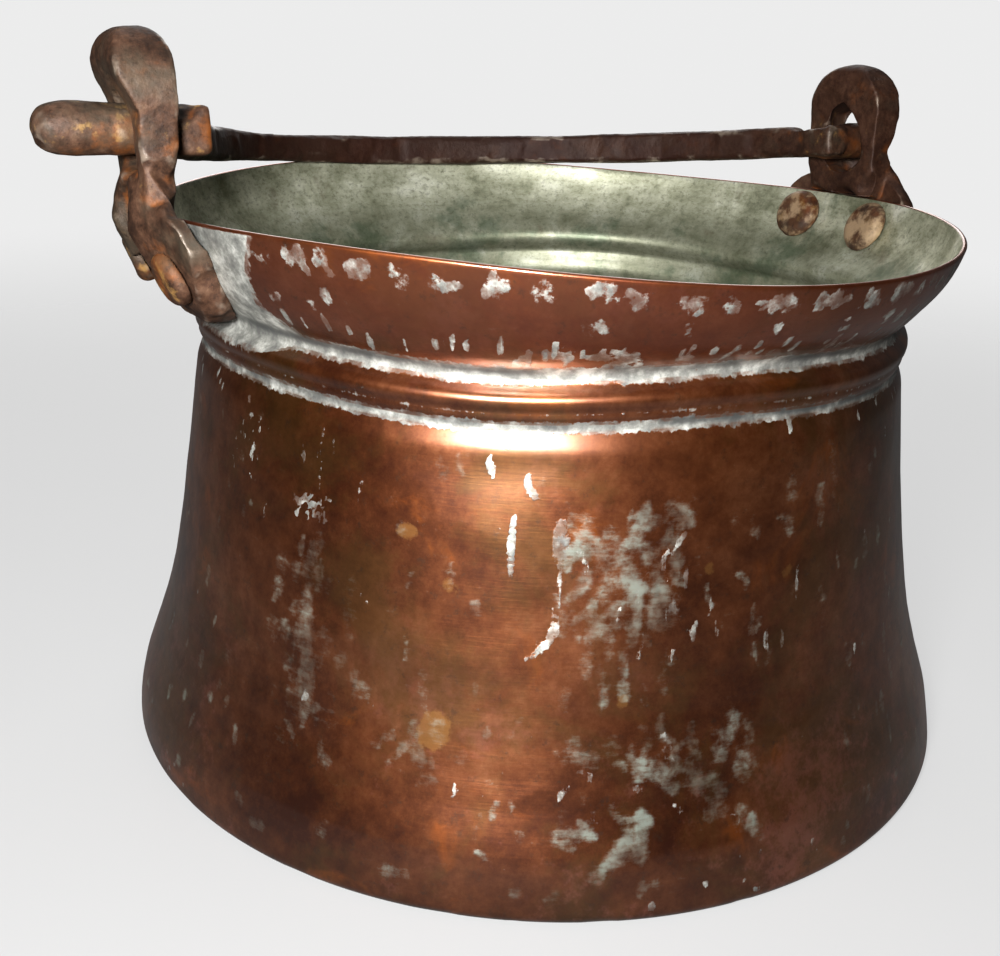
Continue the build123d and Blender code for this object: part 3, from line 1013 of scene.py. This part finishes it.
def torn(shader, field, coarse_scale, fine_scale, tear):
    """A painted field with its edge torn by noise."""
    for scale in (coarse_scale, fine_scale):
        rag = shader.minus(shader.noise(scale, 5.0, 0.65), 0.5)
        field = shader.plus(field, shader.times(rag, tear))
    return field


def dull_tin_share(shader):
    """Worn grey tin: wiped out in level streaks, and thin in patches."""
    field = torn(shader, shader.attribute("dull_tin"), 110.0, 600.0, 1.1)
    wiped = shader.minus(shader.drawn_out(14.0, 420.0, 4.0, 0.7), 0.5)
    field = shader.plus(field, shader.times(wiped, 1.7))
    thin = shader.blend(shader.patches(0.38, 0.62, 55.0), 0.30, 0.78)
    return shader.times(shader.step(field, 0.30, 1.35), thin)


def bright_tin_share(shader, height):
    """Bright tin: drawn out upright below the collar, and worn thin away from the bands."""
    spilt = shader.attribute("bright_tin")
    field = torn(shader, spilt, 90.0, 520.0, 1.3)
    upright = shader.minus(shader.drawn_out(90.0, 45.0, 3.0, 0.6), 0.5)
    on_collar = shader.step(height, 149 * MM, 151 * MM)
    upright = shader.times(upright, shader.blend(on_collar, 0.9, 0.1))
    share = shader.step(shader.plus(field, upright), 0.42, 0.66)
    worn_thin = shader.blend(shader.patches(0.40, 0.60, 150.0, 5.0, 0.65), 0.35, 1.0)
    return shader.times(share, shader.blend(shader.step(spilt, 0.90, 1.0), worn_thin, 1.0))


def groove_painted_shade(shader, height, level):
    """Painted groove shade: 1 at a level, fading out 2.1 mm away, and uneven round the pail."""
    away = shader.maths("ABSOLUTE", shader.minus(height, level))
    line = shader.minus(1.0, shader.step(away, 0.3 * MM, 2.1 * MM))
    return shader.times(line, shader.patches(0.35, 0.6, 45.0))


def bright_tin_colour(shader, height):
    """Mottled tin, with painted shade in the upper half of each groove."""
    colour = shader.ramp(shader.noise(160.0, 5.0, 0.7), *TIN_TONES)
    # painted shade in the upper half of each groove
    groove_shade = shader.plus(*[groove_painted_shade(shader, height, level) for level in PAINTED_SHADE_LEVELS])
    return shader.tint(colour, groove_shade, 0.85, GROOVE_PAINTED_SHADE)


def foot_green(shader, height):
    """Green in the crease at the foot of the wall."""
    foot = shader.minus(1.0, shader.step(height, 0.4 * MM, 2.6 * MM))
    return shader.times(foot, shader.patches(0.3, 0.6, 120.0))


def lining_colour(shader, height):
    """Dull tin lining: grey-green, mottled, wiped round the pail and stained near the neck."""
    on_wall = shader.step(height, 4 * MM, 16 * MM)
    wiped = shader.blend(on_wall, 0.5, shader.drawn_out(5.0, 110.0, 5.0, 0.65))
    mottled = shader.noise(42.0, 6.0, 0.72, distortion=0.3)
    tone = shader.plus(shader.times(mottled, 0.6), shader.times(wiped, 0.4))
    colour = shader.ramp(tone, *LINING_TONES)
    streaks = shader.times(shader.step(shader.drawn_out(60.0, 700.0, 4.0, 0.7), 0.48, 0.66), 0.45)
    colour = shader.mix(shader.times(streaks, on_wall), colour, LINING_STREAK)
    below_collar = shader.minus(1.0, shader.step(height, 146 * MM, 157 * MM))
    colour = shader.tint(colour, below_collar, 0.55, LINING_SHADE)
    green = shader.plus(shader.noise(34.0, 5.0, 0.66), shader.blend(below_collar, 0.0, 0.09))
    colour = shader.tint(colour, shader.step(green, 0.60, 0.72), 0.50, LINING_GREEN)
    colour = shader.tint(colour, shader.patches(0.58, 0.70, 47.0, 5.0, 0.66), 0.4, LINING_BROWN)
    colour = shader.tint(colour, shader.patches(0.55, 0.70, 300.0, 5.0, 0.75), 0.45, LINING_SPECK)
    edge = shader.times(shader.step(height, 167.5 * MM, 169.5 * MM), shader.patches(0.35, 0.6, 60.0))
    return shader.tint(colour, edge, 0.7, LIP_EDGE)


def vessel_relief(shader, height, tin):
    """Brushing round the wall, the thickness of the tin, and grain."""
    on_wall = shader.step(height, 1 * MM, 8 * MM)
    brushed = shader.times(shader.drawn_out(9.0, 1500.0, 3.0, 0.6), 0.5)
    relief = shader.plus(shader.times(brushed, on_wall), shader.times(tin, 0.9))
    relief = shader.plus(relief, shader.times(shader.noise(900.0, 3.0), 0.35))
    return shader.bump(relief, 0.10 * MM, 0.7)


def vessel_material():
    """Copper with spilt and smeared tin outside, and the tin lining inside."""
    shader = Shader("aged_copper")
    height = shader.attribute("plain_height")
    stain = shader.step(torn(shader, shader.attribute("stained"), 200.0, 700.0, 0.8), 0.35, 0.7)
    dull = dull_tin_share(shader)
    bright = bright_tin_share(shader, height)
    tin = shader.maths("MAXIMUM", bright, dull)
    lining = shader.step(shader.attribute("inside"), 0.6, 0.9)
    colour = shader.tint(copper_colour(shader, height), stain, 0.55, STAIN)
    colour = shader.mix(dull, colour, DULL_TIN)
    colour = shader.mix(bright, colour, bright_tin_colour(shader, height))
    colour = shader.tint(colour, foot_green(shader, height), 0.85, FOOT_GREEN)
    colour = shader.mix(lining, colour, lining_colour(shader, height))
    rough = shader.blend(tin, shader.blend(shader.noise(30.0), 0.30, 0.52), 0.50)
    rough = shader.blend(lining, rough, shader.blend(shader.noise(50.0, 5.0), 0.34, 0.60))
    metal = shader.blend(lining, shader.blend(tin, 0.88, 0.45), 0.55)
    coat = shader.blend(lining, shader.blend(tin, 1.0, 0.1), 0.0)
    return shader.surface(
        Base_Color=colour, Metallic=metal, Roughness=rough,
        Normal=vessel_relief(shader, height, tin),
        Coat_Weight=coat, Coat_Roughness=0.27, Coat_IOR=1.75,
    )


def rust_colour(shader):
    """Dark brown rust, with orange and yellow bloom that is strongest near the eyes, and painted shade
    on the bail and the right ear.
    """
    wide = shader.noise(55.0, 5.0, 0.65, distortion=0.5)
    fine = shader.noise(330.0, 5.0, 0.75)
    tone = shader.plus(shader.times(wide, 0.55), shader.times(fine, 0.45))
    colour = shader.ramp(tone, *RUST_TONES)
    by_eye = shader.times(shader.attribute("near_eye"), 0.16)
    orange = shader.plus(shader.noise(75.0, 5.0, 0.6), by_eye)
    orange = shader.plus(orange, shader.times(shader.attribute("hollow"), 0.10))
    colour = shader.tint(colour, shader.step(orange, 0.55, 0.72), 0.7, ORANGE_RUST)
    yellow = shader.plus(shader.noise(160.0), by_eye)
    colour = shader.tint(colour, shader.step(yellow, 0.66, 0.78), 0.6, YELLOW_RUST)
    colour = shader.tint(colour, shader.patches(0.44, 0.60, 38.0), 0.6, GREY_RUST)
    colour = shader.tint(colour, shader.patches(0.54, 0.68, 420.0, 5.0, 0.75), 0.6, RUST_SPECK)
    # painted shade: darkest on the bail between the ears, less on the right ear
    colour = shader.tint(colour, shader.attribute("iron_painted_shade"), 0.78, RUST_IN_PAINTED_SHADE)
    tinned = shader.times(shader.attribute("tinned"), shader.patches(0.42, 0.58, 130.0))
    return shader.tint(colour, tinned, 0.8, TINNED_RUST)


def iron_material():
    """Forged iron: rusted all over, and worn grey here and there on its arrises."""
    shader = Shader("rusted_iron")
    arrises = shader.step(shader.attribute("worn"), 0.45, 0.95)
    worn = shader.times(arrises, shader.patches(0.50, 0.66, 85.0))
    colour = shader.tint(rust_colour(shader), worn, 0.6, WORN_IRON)
    rough = shader.blend(worn, shader.blend(shader.noise(120.0), 0.48, 0.74), 0.32)
    relief = shader.plus(shader.noise(700.0), shader.times(shader.noise(210.0), 0.8))
    return shader.surface(
        Base_Color=colour, Metallic=0.15, Roughness=rough, Specular_IOR_Level=0.4,
        Normal=shader.bump(relief, 0.25 * MM, 0.9),
    )


def floor_material():
    """A pale floor that fades into the backdrop, and that the metal sees dim."""
    shader = Shader("pale_floor")
    grey = shader.ramp(shader.noise(3.0, 2.0), *FLOOR_TONES)
    reach = shader.add("VectorMath")
    reach.operation = "LENGTH"
    shader.put(reach.inputs[0], shader.position())
    near = shader.minus(1.0, shader.step(reach.outputs["Value"], *FLOOR_FADE))
    seen = shader.add("LightPath").outputs["Is Camera Ray"]
    glow = shader.blend(seen, FLOOR_GLOW_IN_METAL, FLOOR_GLOW)
    return shader.surface(
        Base_Color=grey, Roughness=0.9, Alpha=near,
        Emission_Color=(1.0, 1.0, 1.0), Emission_Strength=glow,
    )


# ------------------------------------------------------------------ build
iron = iron_material()
build_vessel(vessel_material())
build_ears(iron)
build_bail(iron)
build_rivets(iron)

make_floor(floor_material())
make_world()
make_lights()
make_camera()
bpy.context.scene.view_settings.view_transform = "Standard"
bpy.context.scene.view_settings.look = "Medium High Contrast"
